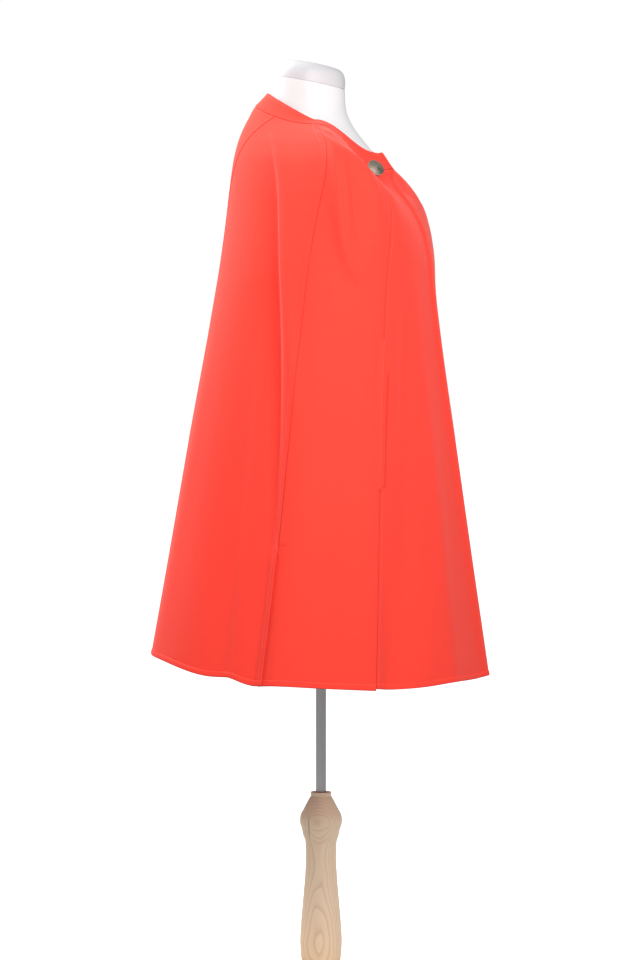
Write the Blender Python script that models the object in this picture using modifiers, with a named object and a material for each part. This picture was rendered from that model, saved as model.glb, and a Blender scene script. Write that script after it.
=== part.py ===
"""A collarless wool cape on a limbless dress form, which stands on a pole, a turned column and a round base.

Metres, +Z up. The origin is the middle of the base's underside, the pole stands on the Z axis,
the cape faces -Y and the wearer's right side is at -X.

The cape is one smooth surface, point_on_cape(angle, down). The angle goes round the body in degrees,
0 at the centre front, 90 at the wearer's right, 180 at the centre back. Down is 0 at the seam of the
neckband, 1 at the hem, and less than 0 on the neckband. Every cut piece is a wall on it, between two seams.
"""

import math

import bmesh
import bpy
import numpy as np
from mathutils import Vector

# Cloth and clearances
CLOTH = 0.0024
SEAM_GAP = 0.0003
LAP_GAP = 0.0008
SEAT_GAP = 0.0009
LAP_LIFT = CLOTH + LAP_GAP

# Laps: how far one edge reaches past its seam, and where the lift starts and ends before it
FRONT_LAP = {"reach": 0.012, "ramp": 0.012, "full": 0.0010, "lift": LAP_LIFT}
SLIT_LAP = {"reach": 0.009, "ramp": 0.009, "full": 0.0010, "lift": LAP_LIFT}
VENT_LAP = {"reach": -SEAM_GAP / 2, "ramp": 0.017, "full": 0.010, "lift": LAP_LIFT}
VENT_UNDER = {"reach": 0.008, "ramp": 0.009, "full": 0.0045, "lift": 0.0}
NO_LAP = {"reach": -SEAM_GAP / 2, "ramp": 0.009, "full": 0.0045, "lift": 0.0}

# Down the cape: where the arm slit and the side vent run
SLIT = (0.445, 0.685)
VENT = (0.785, 2.0)
WHOLE = (-2.0, 2.0)

# Sections of the cape. Reach is measured from the pole's axis; side_y is how far behind the axis
# the side lies; sag lowers the ring between front and side, rise lifts it between side and back.
# Climb is how the ring climbs from its side to its back: evenly where it is 1, from a level start where it is 2.
SECTION_NAMES = (
    "down", "front", "side", "side_y", "back", "front_z", "side_z", "back_z", "sag", "rise", "climb",
)
SECTIONS = (
    (-0.035, 0.0885, 0.0750, -0.006, 0.0786, 1.2480, 1.2925, 1.3390, 0.013, 0.000, 1.1),
    (0.000, 0.1035, 0.0980, -0.014, 0.0970, 1.2240, 1.2830, 1.3190, 0.025, 0.000, 2.0),
    (0.040, 0.1045, 0.1250, -0.024, 0.1060, 1.2110, 1.2720, 1.3020, 0.022, 0.000, 2.0),
    (0.080, 0.1115, 0.1520, -0.034, 0.1140, 1.1960, 1.2600, 1.2850, 0.018, 0.000, 2.0),
    (0.120, 0.1250, 0.1780, -0.045, 0.1210, 1.1790, 1.2460, 1.2650, 0.012, 0.000, 2.0),
    (0.160, 0.1380, 0.2000, -0.051, 0.1270, 1.1600, 1.2240, 1.2380, 0.006, 0.000, 2.0),
    (0.200, 0.1500, 0.2130, -0.050, 0.1310, 1.1350, 1.1920, 1.2060, 0.002, 0.000, 2.0),
    (0.250, 0.1590, 0.2230, -0.043, 0.1350, 1.1000, 1.1500, 1.1600, 0.000, 0.000, 2.0),
    (0.320, 0.1625, 0.2370, -0.035, 0.1430, 1.0500, 1.0900, 1.0930, 0.000, 0.000, 2.0),
    (0.420, 0.1705, 0.2540, -0.028, 0.1585, 0.9700, 1.0050, 1.0000, 0.000, 0.000, 2.0),
    (0.600, 0.1900, 0.2870, -0.018, 0.1850, 0.8200, 0.8500, 0.8500, 0.000, 0.000, 2.0),
    (0.800, 0.2130, 0.3250, -0.007, 0.2120, 0.6520, 0.6750, 0.6850, 0.000, 0.000, 2.0),
    (1.000, 0.2380, 0.3630, 0.006, 0.2380, 0.4820, 0.5020, 0.5190, 0.004, 0.013, 2.0),
)

# Places where the hem rises: angle, half width in degrees and height. The rise fades out up the cape.
HEM_LIFTS = ((104.0, 7.0, 0.008), (22.0, 14.0, 0.004))
HEM_LIFT_START = 0.80

# Seams: their angle round the body at each height. The left side mirrors them.
SEAM_NAMES = ("down", "front_seam", "side_seam", "back_seam")
SEAMS = (
    (-0.035, 28.5, 90.0, 128.0),
    (0.000, 28.5, 90.0, 129.0),
    (0.040, 32.5, 90.0, 135.0),
    (0.090, 38.0, 90.0, 143.0),
    (0.150, 42.5, 90.0, 153.0),
    (0.220, 44.5, 90.0, 162.0),
    (0.300, 45.7, 90.0, 165.0),
    (0.500, 49.0, 90.0, 166.0),
    (0.700, 51.0, 90.0, 166.0),
    (1.000, 53.0, 90.0, 166.0),
)

# Folds, each from its first to its last height. Its angle swings from angle_0 to angle_1, the faster the
# larger swing is. Fore and aft are its half widths in degrees towards the front and towards the back,
# and depth is how far it stands out at its fullest, or goes in where it is less than 0. It fades in from
# its first height and out to its last by a half wave to the power FOLD_FADE.
FOLD_FADE = 0.7
FOLD_NAMES = ("start", "end", "angle_0", "angle_1", "swing", "fore", "aft", "depth")
FOLDS = (
    # The wearer's right side
    (0.155, 1.35, 123.0, 94.0, 4.0, 4.5, 12.0, -0.016),
    (0.36, 1.40, 118.0, 101.0, 1.0, 6.0, 9.0, -0.010),
    (0.02, 0.36, 84.0, 60.0, 0.4, 4.0, 6.0, 0.007),
    (0.10, 0.26, 68.0, 48.0, 1.0, 5.0, 5.0, 0.003),
    (0.34, 1.20, 67.0, 73.0, 1.0, 8.0, 9.0, -0.006),
    (0.33, 1.15, 31.0, 56.0, 0.5, 7.0, 6.0, -0.010),
    (0.26, 1.70, -3.0, -5.0, 1.0, 7.0, 9.0, 0.008),
    # The centre back and the wearer's left side
    (0.38, 1.50, 179.0, 176.0, 1.0, 9.0, 8.0, -0.008),
    (0.17, 1.30, 241.0, 265.0, 3.0, 11.0, 5.0, -0.013),
    (0.32, 1.40, 236.0, 252.0, 1.0, 9.0, 7.0, -0.010),
    (0.03, 0.33, 277.0, 298.0, 0.5, 6.0, 4.0, 0.006),
    (0.40, 1.30, 291.0, 288.0, 1.0, 10.0, 8.0, -0.007),
    (0.30, 1.10, 326.0, 306.0, 0.6, 6.0, 7.0, -0.009),
)

# Heights of the rows of points down every piece
ROWS = (
    0.0, 0.03, 0.06, 0.09, 0.12, 0.15, 0.18, 0.215, 0.25, 0.29, 0.34, 0.39, 0.435,
    0.445, 0.455, 0.51, 0.57, 0.63, 0.675, 0.685, 0.695, 0.73, 0.775, 0.785, 0.795, 0.85, 0.90, 0.95, 1.0,
)
BAND_ROWS = (-0.035, -0.022, -0.010, -0.0004)

# The dress form: its neck above the cloth, then the shoulders from the cape's own sections, then the torso
FORM_NAMES = ("front", "side", "side_y", "back", "front_z", "side_z", "back_z", "sag")
FORM_NECK = (
    (0.0345, 0.0520, 0.0160, 0.0680, 1.3420, 1.3520, 1.3620, 0.000),
    (0.0380, 0.0550, 0.0130, 0.0725, 1.3080, 1.3200, 1.3400, 0.000),
    (0.0500, 0.0605, 0.0040, 0.0750, 1.2840, 1.2970, 1.3260, 0.004),
    (0.0665, 0.0700, -0.0050, 0.0800, 1.2630, 1.2885, 1.3185, 0.012),
)
FORM_SHOULDER_ROWS = (0.0, 0.03, 0.06, 0.09, 0.12, 0.15)
NECK_CLEARANCE = 0.0022
FORM_TORSO = (
    (0.1340, 0.1830, -0.0460, 0.1190, 1.1500, 1.1950, 1.2200, 0.003),
    (0.1450, 0.1740, -0.0360, 0.1180, 1.1100, 1.1450, 1.1650, 0.000),
    (0.1490, 0.1640, -0.0220, 0.1130, 1.0700, 1.0800, 1.0900, 0.000),
    (0.1240, 0.1460, -0.0080, 0.1050, 1.0000, 1.0000, 1.0000, 0.000),
    (0.1040, 0.1300, 0.0000, 0.0980, 0.9300, 0.9300, 0.9300, 0.000),
    (0.1140, 0.1560, 0.0000, 0.1140, 0.8400, 0.8400, 0.8400, 0.000),
    (0.1200, 0.1720, 0.0000, 0.1250, 0.7600, 0.7600, 0.7600, 0.000),
    (0.1160, 0.1660, 0.0000, 0.1200, 0.7000, 0.7000, 0.7000, 0.000),
)
FORM_COLUMNS = 40

# Neck cap: its shells, each a share of the neck's ring at a share of the rise
CAP_RISE = 0.029
CAP_SHELLS = ((1.0, 0.0), (0.99, 0.25), (0.955, 0.52), (0.88, 0.78), (0.74, 0.94), (0.40, 1.0))

# Pole, turned column and base
TORSO_BOTTOM = 0.700
POLE_RADIUS = 0.0077
POLE_SINK = 0.060
COLUMN_TOP = 0.3100
COLUMN_BORE_DEPTH = 0.050
BASE_RADIUS = 0.170
BASE_THICK = 0.022
BASE_EDGE = 0.005
COLUMN_PROFILE = (
    # radius, height
    (0.0151, 0.3100),
    (0.0153, 0.3070),
    (0.0147, 0.3052),
    (0.0179, 0.2996),
    (0.0219, 0.2922),
    (0.0259, 0.2844),
    (0.0300, 0.2765),
    (0.0312, 0.2698),
    (0.0308, 0.2630),
    (0.0287, 0.2567),
    (0.0261, 0.2450),
    (0.0241, 0.2399),
    (0.0228, 0.2270),
    (0.0226, 0.2147),
    (0.0236, 0.1893),
    (0.0268, 0.1500),
    (0.0298, 0.1150),
    (0.0310, 0.0850),
    (0.0290, 0.0620),
    (0.0262, 0.0500),
    (0.0262, 0.0450),
    (0.0330, 0.0400),
    (0.0350, 0.0330),
    (0.0330, 0.0260),
    (0.0330, BASE_THICK + SEAM_GAP),
)
BASE_PROFILE = (
    (BASE_RADIUS - 2 * BASE_EDGE, BASE_THICK),
    (BASE_RADIUS - 0.3 * BASE_EDGE, BASE_THICK - BASE_EDGE),
    (BASE_RADIUS, BASE_THICK - 2 * BASE_EDGE),
    (BASE_RADIUS, 0.3 * BASE_EDGE),
    (BASE_RADIUS - 0.3 * BASE_EDGE, 0.0),
)

# Button: a shallow cone with a thin rim on a shank, at the top of the right front seam. It hangs a little
# forward of the cloth: its face turns this far round from the front, and is raised this far.
BUTTON_RADIUS = 0.0130
BUTTON_HEIGHT = 0.0060
BUTTON_DOWN = 0.050
BUTTON_ANGLE = 41.0
BUTTON_FACING = 47.0
BUTTON_RAISED = 31.0
BUTTON_STANDOFF = 0.0082
SHANK_RADIUS = 0.0025
SHANK_LENGTH = 0.0068
BUTTON_PROFILE = (
    (BUTTON_RADIUS * 0.12, BUTTON_HEIGHT),
    (BUTTON_RADIUS * 0.55, BUTTON_HEIGHT * 0.80),
    (BUTTON_RADIUS * 0.88, BUTTON_HEIGHT * 0.52),
    (BUTTON_RADIUS, BUTTON_HEIGHT * 0.40),
    (BUTTON_RADIUS, BUTTON_HEIGHT * 0.22),
    (BUTTON_RADIUS * 0.90, 0.0),
    (SHANK_RADIUS, 0.0),
    (SHANK_RADIUS, -SHANK_LENGTH),
)

# Facets round a turned piece, and the steepest edge that still shades smooth, in degrees
TURN_STEPS = 28
BUTTON_STEPS = 20
BASE_STEPS = 40
SMOOTH_TO = 40.0

# The small turn and the small step down over which slopes of the surface are measured
SMALL_TURN = 0.5
SMALL_STEP = 0.004


def smooth_between(stations, values, where):
    """A smooth curve through the values at their stations, read at one place or at many."""
    slopes = np.gradient(values, stations)
    where = np.asarray(where, float)
    place = np.clip(np.searchsorted(stations, where) - 1, 0, len(stations) - 2)
    span = stations[place + 1] - stations[place]
    part = np.clip((where - stations[place]) / span, 0.0, 1.0)
    rest = 1.0 - part
    return (
        values[place] * (1 + 2 * part) * rest**2
        + values[place + 1] * (3 - 2 * part) * part**2
        + span * part * rest * (slopes[place] * rest - slopes[place + 1] * part)
    )


def columns_of(names, rows):
    return {name: np.array([row[i] for row in rows]) for i, name in enumerate(names)}


SECTION = columns_of(SECTION_NAMES, SECTIONS)
SEAM = columns_of(SEAM_NAMES, SEAMS)


def ring_point(angle, front, side, side_y, back, front_z, side_z, back_z, sag=0.0, rise=0.0, climb=2.0):
    """A point of a level or tilted ring: half an oval in front of its side point, and half behind."""
    turn = math.radians(angle)
    ahead, across = math.cos(turn), math.sin(turn)
    reach = front if ahead > 0 else back
    end_z = front_z if ahead > 0 else back_z
    dip = -sag if ahead > 0 else rise
    x = -side * across
    y = side_y * across**2 - reach * ahead
    share = abs(ahead) ** (2.0 if ahead > 0 else climb)
    z = side_z + (end_z - side_z) * share + dip * math.sin(2 * turn) ** 2
    return Vector((x, y, z))


def plain_point(angle, down):
    """The cape's surface before its folds."""
    values = {
        name: float(smooth_between(SECTION["down"], SECTION[name], down))
        for name in SECTION_NAMES[1:]
    }
    point = ring_point(angle, **values)
    share = max(0.0, (down - HEM_LIFT_START) / (1 - HEM_LIFT_START)) ** 2
    for centre, width, height in HEM_LIFTS:
        point.z += height * share * math.exp(-(((angle - centre) / width) ** 2))
    return point


def outward(angle, down):
    """The direction straight out of the plain surface."""
    upper = max(down - SMALL_STEP, SECTIONS[0][0])
    lower = min(down + SMALL_STEP, SECTIONS[-1][0])
    across = plain_point(angle + SMALL_TURN, down) - plain_point(angle - SMALL_TURN, down)
    along = plain_point(angle, lower) - plain_point(angle, upper)
    return across.cross(along).normalized()


def fold_depth(angle, down):
    """How far the folds move the surface out, or in where it is less than 0."""
    total = 0.0
    for row in FOLDS:
        fold = dict(zip(FOLD_NAMES, row))
        if not fold["start"] < down < fold["end"]:
            continue
        run = (down - fold["start"]) / (fold["end"] - fold["start"])
        centre = fold["angle_1"] + (fold["angle_0"] - fold["angle_1"]) * (1 - run) ** fold["swing"]
        away = (angle - centre + 180.0) % 360.0 - 180.0
        width = fold["fore"] if away < 0 else fold["aft"]
        fade = math.sin(math.pi * run) ** FOLD_FADE
        total += fold["depth"] * fade * math.exp(-((away / width) ** 2))
    return total


def point_on_cape(angle, down, out=0.0):
    """The cape's outer surface with its folds, moved out by a distance."""
    lift = fold_depth(angle, down) + out
    return plain_point(angle, down) + outward(angle, down) * lift


def degrees_for(length, angle, down):
    """The turn round the body that covers a length of cloth."""
    covered = (plain_point(angle + SMALL_TURN, down) - plain_point(angle - SMALL_TURN, down)).length
    return 2 * SMALL_TURN * length / covered


def seam_angle(seam, down):
    """A seam's angle. A name is the right side's, with a minus sign the left side's."""
    if seam == "centre":
        return 0.0
    if seam.startswith("-"):
        return 360.0 - seam_angle(seam[1:], down)
    return float(smooth_between(SEAM["down"], SEAM[seam], down))


def edge_columns(seam, down, lap, span, side):
    """Three columns at one edge of a piece, from its inner one to its free one: each an angle and a lift.

    Side is -1 where the piece starts at this seam and +1 where it ends there.
    """
    inside = span[0] <= down <= span[1]
    opened = span[0] < down < span[1]
    used = lap if opened else dict(NO_LAP, ramp=lap["ramp"], full=lap["full"])
    lift = lap["lift"] if inside else 0.0
    angle = seam_angle(seam, down)
    found = []
    for distance, height in ((-lap["ramp"], 0.0), (-lap["full"], lift), (used["reach"], lift)):
        found.append((angle + side * degrees_for(distance, angle, down), height))
    return found


def piece_grid(first, last, columns, rows, first_lap=(NO_LAP, WHOLE), last_lap=(NO_LAP, WHOLE)):
    """Rows of (angle, down, lift) for a piece between two seams."""
    grid = []
    for down in rows:
        head = edge_columns(first, down, *first_lap, side=-1)[::-1]
        tail = edge_columns(last, down, *last_lap, side=1)
        start, end = head[-1][0], tail[0][0]
        if end < start:
            end += 360.0
            tail = [(angle + 360.0, lift) for angle, lift in tail]
        middle = [(start + (end - start) * i / columns, 0.0) for i in range(1, columns)]
        grid.append([(angle, down, lift) for angle, lift in head + middle + tail])
    return grid


def mesh_object(name, points, faces, material):
    mesh = bpy.data.meshes.new(name)
    mesh.from_pydata([tuple(p) for p in points], [], faces)
    shape = bmesh.new()
    shape.from_mesh(mesh)
    bmesh.ops.recalc_face_normals(shape, faces=shape.faces)
    shape.to_mesh(mesh)
    shape.free()
    mesh.materials.append(material)
    mesh.shade_smooth()
    mesh.set_sharp_from_angle(angle=math.radians(SMOOTH_TO))
    piece = bpy.data.objects.new(name, mesh)
    PARTS.objects.link(piece)
    return piece


def cloth_piece(name, grid, material):
    """A closed wall: the outer face of the grid, its inner face one thickness in, and the four edges."""
    outer = [[point_on_cape(a, d, out) for a, d, out in row] for row in grid]
    inner = [[point_on_cape(a, d, out - CLOTH) for a, d, out in row] for row in grid]
    down, across = len(grid), len(grid[0])
    points = [p for row in outer for p in row] + [p for row in inner for p in row]
    skip = down * across
    faces = []
    for r in range(down - 1):
        for c in range(across - 1):
            a = r * across + c
            faces.append((a, a + 1, a + across + 1, a + across))
            faces.append((skip + a + across, skip + a + across + 1, skip + a + 1, skip + a))
    rim = list(range(across))
    rim += [r * across + across - 1 for r in range(1, down)]
    rim += [(down - 1) * across + c for c in range(across - 2, -1, -1)]
    rim += [r * across for r in range(down - 2, 0, -1)]
    for here, there in zip(rim, rim[1:] + rim[:1]):
        faces.append((there, here, skip + here, skip + there))
    return mesh_object(name, points, faces, material)


def loft(name, rings, material):
    """A closed body through rings of equal length, with a face over its first and its last ring."""
    count = len(rings[0])
    points = [p for ring in rings for p in ring]
    faces = []
    for r in range(len(rings) - 1):
        for c in range(count):
            d = (c + 1) % count
            faces.append((r * count + c, r * count + d, (r + 1) * count + d, (r + 1) * count + c))
    faces.append(tuple(range(count)))
    faces.append(tuple(range((len(rings) - 1) * count, len(rings) * count)))
    return mesh_object(name, points, faces, material)


def turned(name, profile, material, steps=TURN_STEPS):
    """A turned piece, from its profile down the outer side, closed on the axis at the top and the foot."""
    mesh = bpy.data.meshes.new(name)
    outline = [(0.0, profile[0][1])] + list(profile) + [(0.0, profile[-1][1])]
    mesh.from_pydata([(r, 0.0, z) for r, z in outline], [(i, i + 1) for i in range(len(outline) - 1)], [])
    mesh.materials.append(material)
    piece = bpy.data.objects.new(name, mesh)
    PARTS.objects.link(piece)
    screw = piece.modifiers.new("Turning", "SCREW")
    screw.steps = screw.render_steps = steps
    screw.use_merge_vertices = True
    screw.merge_threshold = 0.0001
    screw.use_smooth_shade = True
    return piece


def upright_cylinder(name, radius, foot, top, collection):
    bpy.ops.mesh.primitive_cylinder_add(
        vertices=TURN_STEPS, radius=radius, depth=top - foot, location=(0, 0, (top + foot) / 2)
    )
    piece = bpy.context.object
    piece.name = piece.data.name = name
    for linked in list(piece.users_collection):
        linked.objects.unlink(piece)
    collection.objects.link(piece)
    return piece


def bore_hole(piece, mouth, depth):
    """A round hole for the pole, as deep on both sides of its mouth as the piece may need."""
    cutter = upright_cylinder(
        piece.name + "_cutter", POLE_RADIUS + SEAM_GAP, mouth - depth, mouth + depth, CUTTERS
    )
    cutter.hide_render = True
    cutter.display_type = "WIRE"
    hole = piece.modifiers.new("Pole hole", "BOOLEAN")
    hole.object = cutter
    hole.operation = "DIFFERENCE"


def material(name, colour, roughness, metallic=0.0):
    made = bpy.data.materials.new(name)
    made.use_nodes = True
    shader = made.node_tree.nodes["Principled BSDF"]
    shader.inputs["Base Color"].default_value = (*colour, 1.0)
    shader.inputs["Roughness"].default_value = roughness
    shader.inputs["Metallic"].default_value = metallic
    made.diffuse_color = (*colour, 1.0)
    return made


def build_cape(cloth):
    slit_lap = (SLIT_LAP, SLIT)
    pieces = (
        # name, first seam, last seam, columns, lap at the first, lap at the last
        ("cape_front_right", "centre", "front_seam", 5, (FRONT_LAP, WHOLE), (NO_LAP, WHOLE)),
        ("cape_side_front_right", "front_seam", "side_seam", 7, slit_lap, (VENT_UNDER, VENT)),
        ("cape_side_back_right", "side_seam", "back_seam", 11, (VENT_LAP, VENT), (NO_LAP, WHOLE)),
        ("cape_back", "back_seam", "-back_seam", 12, (NO_LAP, WHOLE), (NO_LAP, WHOLE)),
        ("cape_side_back_left", "-back_seam", "-side_seam", 11, (NO_LAP, WHOLE), (VENT_LAP, VENT)),
        ("cape_side_front_left", "-side_seam", "-front_seam", 7, (VENT_UNDER, VENT), slit_lap),
        ("cape_front_left", "-front_seam", "centre", 5, (NO_LAP, WHOLE), (NO_LAP, WHOLE)),
    )
    for name, first, last, columns, first_lap, last_lap in pieces:
        cloth_piece(name, piece_grid(first, last, columns, ROWS, first_lap, last_lap), cloth)
    bands = (
        ("neckband_front_right", "centre", "side_seam", 7, (FRONT_LAP, WHOLE), (NO_LAP, WHOLE)),
        ("neckband_back", "side_seam", "-side_seam", 12, (NO_LAP, WHOLE), (NO_LAP, WHOLE)),
        ("neckband_front_left", "-side_seam", "centre", 7, (NO_LAP, WHOLE), (NO_LAP, WHOLE)),
    )
    for name, first, last, columns, first_lap, last_lap in bands:
        cloth_piece(name, piece_grid(first, last, columns, BAND_ROWS, first_lap, last_lap), cloth)


def build_button(metal):
    """A shallow cone with a rolled rim, on a shank that reaches down to the cloth it is sewn to."""
    piece = turned("button_right", BUTTON_PROFILE, metal, BUTTON_STEPS)
    turn, tilt = math.radians(BUTTON_FACING), math.radians(BUTTON_RAISED)
    level = Vector((-math.sin(turn), -math.cos(turn), 0.0))
    facing = level * math.cos(tilt) + Vector((0.0, 0.0, math.sin(tilt)))
    piece.location = point_on_cape(BUTTON_ANGLE, BUTTON_DOWN, BUTTON_STANDOFF)
    piece.rotation_euler = facing.to_track_quat("Z", "Y").to_euler()


def form_rings():
    angles = [360.0 * i / FORM_COLUMNS for i in range(FORM_COLUMNS)]
    rings = []
    for row in FORM_NECK:
        rings.append([ring_point(a, **dict(zip(FORM_NAMES, row))) for a in angles])
    cap_seam = rings[0]
    front, behind = cap_seam[0], cap_seam[len(cap_seam) // 2]
    slope = (behind.z - front.z) / (behind.y - front.y)
    for point in cap_seam:
        point.z = front.z + slope * (point.y - front.y)
    for down in FORM_SHOULDER_ROWS:
        inward = CLOTH + (SEAT_GAP if down > 0 else NECK_CLEARANCE)
        rings.append([plain_point(a, down) - outward(a, down) * inward for a in angles])
    for row in FORM_TORSO:
        rings.append([ring_point(a, **dict(zip(FORM_NAMES, row))) for a in angles])
    return rings


def build_form(cover, cap_cover):
    rings = form_rings()
    torso = loft("form_torso", rings, cover)
    bore_hole(torso, TORSO_BOTTOM, POLE_SINK + SEAM_GAP)

    seam = rings[0]
    middle = sum(seam, Vector()) / len(seam)
    tilt = (seam[len(seam) // 2] - seam[0]).cross(Vector((-1, 0, 0))).normalized()
    shells = []
    for share, rise in CAP_SHELLS:
        lift = tilt * (SEAM_GAP + CAP_RISE * rise)
        shells.append([middle + (p - middle) * share + lift for p in seam])
    loft("form_neck_cap", shells[::-1], cap_cover)


def build_stand(metal, wood):
    top = TORSO_BOTTOM + POLE_SINK
    foot = COLUMN_TOP - COLUMN_BORE_DEPTH + SEAM_GAP
    pole = upright_cylinder("stand_pole", POLE_RADIUS, foot, top, PARTS)
    pole.data.materials.append(metal)

    column = turned("stand_column", COLUMN_PROFILE, wood)
    bore_hole(column, COLUMN_TOP, COLUMN_BORE_DEPTH)

    turned("stand_base", BASE_PROFILE, wood, BASE_STEPS)


for old in list(bpy.data.objects):
    bpy.data.objects.remove(old, do_unlink=True)
PARTS = bpy.data.collections.new("Cape on a dress form")
CUTTERS = bpy.data.collections.new("Cutters")
bpy.context.scene.collection.children.link(PARTS)
bpy.context.scene.collection.children.link(CUTTERS)

coral_wool = material("Coral wool", (0.86, 0.075, 0.05), 0.85)
bronze = material("Brushed bronze", (0.36, 0.29, 0.22), 0.35, 1.0)
white_cover = material("White form cover", (0.85, 0.84, 0.84), 0.55)
cap_white = material("Neck cap white", (0.78, 0.77, 0.79), 0.5)
grey_steel = material("Grey steel", (0.30, 0.30, 0.30), 0.35, 1.0)
pine = material("Turned pine", (0.66, 0.46, 0.30), 0.5)

build_cape(coral_wool)
build_button(bronze)
build_form(white_cover, cap_white)
build_stand(grey_steel, pine)
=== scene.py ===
"""The looks of a coral wool cape on a dress form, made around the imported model.

Metres, +Z up, the cape faces -Y and the wearer's right side is at -X. A place on the cape is an angle
round the body, 0 at the centre front, 90 at the wearer's right and 180 at the centre back, and a
distance down it, 0 at the seam of the neckband and 1 at the hem.
"""

import math

import bpy
import numpy as np
from bpy.props import FloatProperty, FloatVectorProperty, IntProperty, PointerProperty
from bpy.types import Operator, Panel, PropertyGroup
from mathutils import Matrix, Vector


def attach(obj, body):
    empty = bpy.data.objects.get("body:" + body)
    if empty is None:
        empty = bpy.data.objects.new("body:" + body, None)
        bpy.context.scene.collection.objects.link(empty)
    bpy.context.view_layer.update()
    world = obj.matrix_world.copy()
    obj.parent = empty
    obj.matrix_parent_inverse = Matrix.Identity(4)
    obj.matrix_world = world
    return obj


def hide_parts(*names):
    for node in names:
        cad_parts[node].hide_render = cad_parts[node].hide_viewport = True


bl_info = {
    "name": "Cape on a Dress Form",
    "version": (1, 0, 0),
    "blender": (4, 5, 0),
    "location": "3D View > Sidebar > Cape",
    "description": "Sews a wool cape with a neckband and a button on a dress form with a turned stand",
    "category": "Add Mesh",
}

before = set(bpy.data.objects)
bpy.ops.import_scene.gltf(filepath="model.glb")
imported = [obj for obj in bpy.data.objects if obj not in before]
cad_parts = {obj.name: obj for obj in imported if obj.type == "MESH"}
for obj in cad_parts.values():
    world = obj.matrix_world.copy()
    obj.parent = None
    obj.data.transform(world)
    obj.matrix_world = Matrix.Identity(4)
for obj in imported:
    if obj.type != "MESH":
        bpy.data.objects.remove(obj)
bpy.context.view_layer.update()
BODY = "root"

# Sections of the cape, from the neckband's top edge to the hem
SECTION_NAMES = (
    "down", "front", "side", "side_y", "back", "front_z", "side_z", "back_z", "sag", "rise", "climb",
)
SECTIONS = (
    (-0.035, 0.0885, 0.0750, -0.006, 0.0786, 1.2480, 1.2925, 1.3390, 0.013, 0.000, 1.1),
    (0.000, 0.1035, 0.0980, -0.014, 0.0970, 1.2240, 1.2830, 1.3190, 0.025, 0.000, 2.0),
    (0.040, 0.1045, 0.1250, -0.024, 0.1060, 1.2110, 1.2720, 1.3020, 0.022, 0.000, 2.0),
    (0.080, 0.1115, 0.1520, -0.034, 0.1140, 1.1960, 1.2600, 1.2850, 0.018, 0.000, 2.0),
    (0.120, 0.1250, 0.1780, -0.045, 0.1210, 1.1790, 1.2460, 1.2650, 0.012, 0.000, 2.0),
    (0.160, 0.1380, 0.2000, -0.051, 0.1270, 1.1600, 1.2240, 1.2380, 0.006, 0.000, 2.0),
    (0.200, 0.1500, 0.2130, -0.050, 0.1310, 1.1350, 1.1920, 1.2060, 0.002, 0.000, 2.0),
    (0.250, 0.1590, 0.2230, -0.043, 0.1350, 1.1000, 1.1500, 1.1600, 0.000, 0.000, 2.0),
    (0.320, 0.1625, 0.2370, -0.035, 0.1430, 1.0500, 1.0900, 1.0930, 0.000, 0.000, 2.0),
    (0.420, 0.1705, 0.2540, -0.028, 0.1585, 0.9700, 1.0050, 1.0000, 0.000, 0.000, 2.0),
    (0.600, 0.1900, 0.2870, -0.018, 0.1850, 0.8200, 0.8500, 0.8500, 0.000, 0.000, 2.0),
    (0.800, 0.2130, 0.3250, -0.007, 0.2120, 0.6520, 0.6750, 0.6850, 0.000, 0.000, 2.0),
    (1.000, 0.2380, 0.3630, 0.006, 0.2380, 0.4820, 0.5020, 0.5190, 0.004, 0.013, 2.0),
)
DOWN_LENGTH = 0.80

# Small steps on the cape's face, in degrees and down it, that its directions are measured over
TURN_STEP = 0.5
DOWN_STEP = 0.004

# Places where the hem rises: angle, half width in degrees and height. The rise fades out up the cape.
HEM_LIFTS = ((104.0, 7.0, 0.008), (22.0, 14.0, 0.004))
HEM_LIFT_START = 0.80

# The right side's seams; the left side mirrors them
SEAM_NAMES = ("down", "front_seam", "side_seam", "back_seam")
SEAMS = (
    (-0.035, 28.5, 90.0, 128.0),
    (0.000, 28.5, 90.0, 129.0),
    (0.040, 32.5, 90.0, 135.0),
    (0.090, 38.0, 90.0, 143.0),
    (0.150, 42.5, 90.0, 153.0),
    (0.220, 44.5, 90.0, 162.0),
    (0.300, 45.7, 90.0, 165.0),
    (0.500, 49.0, 90.0, 166.0),
    (0.700, 51.0, 90.0, 166.0),
    (1.000, 53.0, 90.0, 166.0),
)

# Folds: first and last height, angle there, how fast the angle swings, half widths fore and aft, depth
FOLD_FADE = 0.7
FOLDS = (
    (0.155, 1.35, 123.0, 94.0, 4.0, 4.5, 12.0, -0.016),
    (0.36, 1.40, 118.0, 101.0, 1.0, 6.0, 9.0, -0.010),
    (0.02, 0.36, 84.0, 60.0, 0.4, 4.0, 6.0, 0.007),
    (0.10, 0.26, 68.0, 48.0, 1.0, 5.0, 5.0, 0.003),
    (0.34, 1.20, 67.0, 73.0, 1.0, 8.0, 9.0, -0.006),
    (0.33, 1.15, 31.0, 56.0, 0.5, 7.0, 6.0, -0.010),
    (0.26, 1.70, -3.0, -5.0, 1.0, 7.0, 9.0, 0.008),
    (0.38, 1.50, 179.0, 176.0, 1.0, 9.0, 8.0, -0.008),
    (0.17, 1.30, 241.0, 265.0, 3.0, 11.0, 5.0, -0.013),
    (0.32, 1.40, 236.0, 252.0, 1.0, 9.0, 7.0, -0.010),
    (0.03, 0.33, 277.0, 298.0, 0.5, 6.0, 4.0, 0.006),
    (0.40, 1.30, 291.0, 288.0, 1.0, 10.0, 8.0, -0.007),
    (0.30, 1.10, 326.0, 306.0, 0.6, 6.0, 7.0, -0.009),
)

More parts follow.
